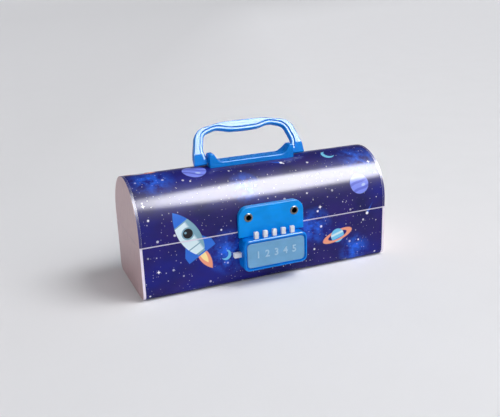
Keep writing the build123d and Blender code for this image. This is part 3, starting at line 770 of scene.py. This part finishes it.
class PENCILBOX_OT_handle(bpy.types.Operator):
    """Dresses the handle's bracket and its grip"""

    bl_idname = "pencilbox.handle"
    bl_label = "Handle"

    def execute(self, context):
        mouldings = context.scene.pencilbox_mouldings
        bracket = moulded("bracket_plastic", mouldings.handle, mouldings.gloss * 1.3, coat=0.06, relief=0.003)
        dress(bracket, "handle_bracket")
        grip = moulded("grip_plastic", mouldings.handle, mouldings.gloss, coat=0.08, wear=0.05, relief=0.002)
        dress(grip, "handle_grip")
        return {"FINISHED"}


# The floor runs out flat and curves up into a low backdrop all round, in metres
FLOOR_RADIUS = 30.0
BACKDROP_RADIUS = 3.0
BACKDROP_TOP = 5.0
BACKDROP_STEPS = 24
BACKDROP_SIDES = 96

# Where painted shade darkens the floor's paper: turn of the edge on the left, then millimetres across and
# away
SHADE_TURN = radians(22)
SHADE_LEFT = (130, -300)
SHADE_AWAY = (2000, 5600)
# How much of the floor's colour the painted shade keeps on the left and far away
LEFT_SHADE_SHARE = 0.945
AWAY_SHADE_SHARE = 0.932


def floor_tone(finish, colour):
    """Painted shade: the paper's colour is made a little darker to the left and in the far distance, where
    the light falls off.
    """
    x, y, z = finish.place()
    left = (x * cos(SHADE_TURN) - y * sin(SHADE_TURN)).ramp(*SHADE_LEFT)
    away = (y - x * 0.8).ramp(*SHADE_AWAY)
    # Painted shade: the floor darkens to the left and far off
    tone = finish.mix(colour, [c * LEFT_SHADE_SHARE for c in colour], left)
    tone = finish.mix(tone, [c * AWAY_SHADE_SHARE for c in colour], away)
    return finish.mix(tone, [c * 0.9 for c in colour], finish.noise(60, 3).ramp(0.3, 0.7) * 0.06)


def sweep_floor(scene, colour):
    """One round sheet: floor in the middle, backdrop at the rim."""
    section = []
    for step in range(BACKDROP_STEPS + 1):
        turn = pi / 2 * step / BACKDROP_STEPS
        section.append((FLOOR_RADIUS + BACKDROP_RADIUS * sin(turn), BACKDROP_RADIUS * (1 - cos(turn))))
    section.append((FLOOR_RADIUS + BACKDROP_RADIUS, BACKDROP_TOP))
    shape = bmesh.new()
    turns = [2 * pi * side / BACKDROP_SIDES for side in range(BACKDROP_SIDES)]
    rows = [[shape.verts.new((r * cos(a), r * sin(a), z)) for a in turns] for r, z in section]
    shape.faces.new(rows[0])
    for low, high in zip(rows, rows[1:]):
        for side in range(BACKDROP_SIDES):
            after = (side + 1) % BACKDROP_SIDES
            shape.faces.new((low[side], low[after], high[after], high[side])).smooth = True
    mesh = bpy.data.meshes.new("studio_floor")
    shape.to_mesh(mesh)
    shape.free()
    finish = Finish("floor_paper", 0.85)
    finish.colour(floor_tone(finish, colour))
    finish.bump(finish.noise(0.8, 3), 0.02)
    finish.shader.inputs["Specular IOR Level"].default_value = 0.2
    mesh.materials.append(finish.material)
    floor = bpy.data.objects.new("studio_floor", mesh)
    scene.collection.objects.link(floor)


def aim(lamp, place, target):
    """Puts a lamp somewhere and turns it towards a point."""
    lamp.location = place
    lamp.rotation_euler = (target - place).to_track_quat("-Z", "Y").to_euler()


# The camera's sensor in its own millimetres, and how near it sees, in metres
SENSOR_WIDTH = 36
NEAREST = 0.01

# The point that the camera looks at, and where the softbox stands, in metres
LOOK_AT = Vector((-1.4, 0, 46.95)) * MM
LIGHT_TARGET = Vector((0, 0, 60)) * MM
SOFTBOX_PLACE = Vector((0.426, -0.475, 0.871))
SOFTBOX_SIZE = 0.94
SOFTBOX_CORE = 0.24

# Lamps from far off: name, the setting that holds its strength, spread in degrees, direction
SUNS = (
    ("key_light", "key_power", 34, (0.50, -0.20, 0.85)),
    ("front_light", "front_power", 100, (0.25, -0.85, 0.45)),
    ("side_light", "side_power", 120, (-0.8, -0.35, 0.5)),
    ("sky_light", "sky_power", 150, (0.1, -0.1, 1.0)),
)


def lay_sun(scene, name, power, spread, place):
    """A soft light from far off that leaves no mirror image of itself."""
    data = bpy.data.lights.new(name, "SUN")
    data.energy = power
    data.angle = radians(spread)
    lamp = bpy.data.objects.new(name, data)
    scene.collection.objects.link(lamp)
    aim(lamp, place, LIGHT_TARGET)
    lamp.visible_glossy = False


def fade_softbox(data):
    """Lets the softbox glow in the middle and go dim towards its edges, like cloth over a bulb."""
    data.use_nodes = True
    tree = data.node_tree
    spot = tree.nodes.new("ShaderNodeNewGeometry")
    away = tree.nodes.new("ShaderNodeVectorMath")
    away.operation = "DISTANCE"
    away.inputs[1].default_value = (0.5, 0.5, 0)
    fade = tree.nodes.new("ShaderNodeMapRange")
    fade.interpolation_type = "SMOOTHSTEP"
    fade.inputs["From Min"].default_value = 0.5
    fade.inputs["From Max"].default_value = SOFTBOX_CORE / SOFTBOX_SIZE
    tree.links.new(spot.outputs["Parametric"], away.inputs[0])
    tree.links.new(away.outputs["Value"], fade.inputs["Value"])
    tree.links.new(fade.outputs["Result"], tree.nodes["Emission"].inputs["Strength"])


class PENCILBOX_OT_studio(bpy.types.Operator):
    """Sets the floor, the soft lights and the camera at the photograph's angle"""

    bl_idname = "pencilbox.studio"
    bl_label = "Studio"

    def execute(self, context):
        scene = context.scene
        studio = scene.pencilbox_studio
        sweep_floor(scene, studio.floor)

        for name, power, spread, place in SUNS:
            lay_sun(scene, name, getattr(studio, power), spread, Vector(place))

        box_data = bpy.data.lights.new("softbox", "AREA")
        box_data.size = SOFTBOX_SIZE
        box_data.energy = studio.box_power
        fade_softbox(box_data)
        softbox = bpy.data.objects.new("softbox", box_data)
        scene.collection.objects.link(softbox)
        aim(softbox, SOFTBOX_PLACE, LIGHT_TARGET)
        softbox.visible_diffuse = False
        softbox.visible_camera = False

        world = bpy.data.worlds.new("studio_air")
        world.use_nodes = True
        background = world.node_tree.nodes["Background"]
        background.inputs["Color"].default_value = linear(studio.air)
        background.inputs["Strength"].default_value = studio.fill
        scene.world = world

        back = Vector((
            sin(studio.azimuth) * cos(studio.elevation),
            -cos(studio.azimuth) * cos(studio.elevation),
            sin(studio.elevation),
        ))
        side = Vector((0, 0, 1)).cross(back).normalized()
        up = back.cross(side)
        right = side * cos(studio.roll) + up * sin(studio.roll)
        top = up * cos(studio.roll) - side * sin(studio.roll)
        lens = bpy.data.cameras.new("camera")
        lens.lens = studio.focal
        lens.sensor_width = SENSOR_WIDTH
        lens.clip_start = NEAREST
        camera = bpy.data.objects.new("camera", lens)
        scene.collection.objects.link(camera)
        turn = Matrix((right, top, back)).transposed().to_4x4()
        camera.matrix_world = Matrix.Translation(LOOK_AT + back * studio.distance) @ turn
        scene.camera = camera
        scene.view_settings.view_transform = "Standard"
        return {"FINISHED"}


SETTINGS = {
    "pencilbox_print": PrintedSheetSettings,
    "pencilbox_paper": PaperSettings,
    "pencilbox_mouldings": MouldingSettings,
    "pencilbox_metals": MetalSettings,
    "pencilbox_studio": StudioSettings,
}
OPERATORS = (
    PENCILBOX_OT_printed_sheet,
    PENCILBOX_OT_end_panels,
    PENCILBOX_OT_boards,
    PENCILBOX_OT_hasp,
    PENCILBOX_OT_lock,
    PENCILBOX_OT_digits,
    PENCILBOX_OT_keys,
    PENCILBOX_OT_hardware,
    PENCILBOX_OT_springs,
    PENCILBOX_OT_handle,
    PENCILBOX_OT_studio,
)


class PENCILBOX_PT_sidebar(bpy.types.Panel):
    """Lists the pieces of the pencil box and their settings"""

    bl_idname = "PENCILBOX_PT_sidebar"
    bl_label = "Pencil Box"
    bl_space_type = "VIEW_3D"
    bl_region_type = "UI"
    bl_category = "Pencil Box"

    def draw(self, context):
        for operator in OPERATORS:
            self.layout.operator(operator.bl_idname)
        for name, group in SETTINGS.items():
            box = self.layout.box()
            for setting in group.__annotations__:
                box.prop(getattr(context.scene, name), setting)


def register():
    for group in (*SETTINGS.values(), *OPERATORS, PENCILBOX_PT_sidebar):
        bpy.utils.register_class(group)
    for name, group in SETTINGS.items():
        setattr(bpy.types.Scene, name, PointerProperty(type=group))


def unregister():
    for name in SETTINGS:
        delattr(bpy.types.Scene, name)
    for group in reversed((*SETTINGS.values(), *OPERATORS, PENCILBOX_PT_sidebar)):
        bpy.utils.unregister_class(group)


def main():
    register()
    for operator in OPERATORS:
        kind, name = operator.bl_idname.split(".")
        getattr(getattr(bpy.ops, kind), name)()


if __name__ == "__main__":
    main()
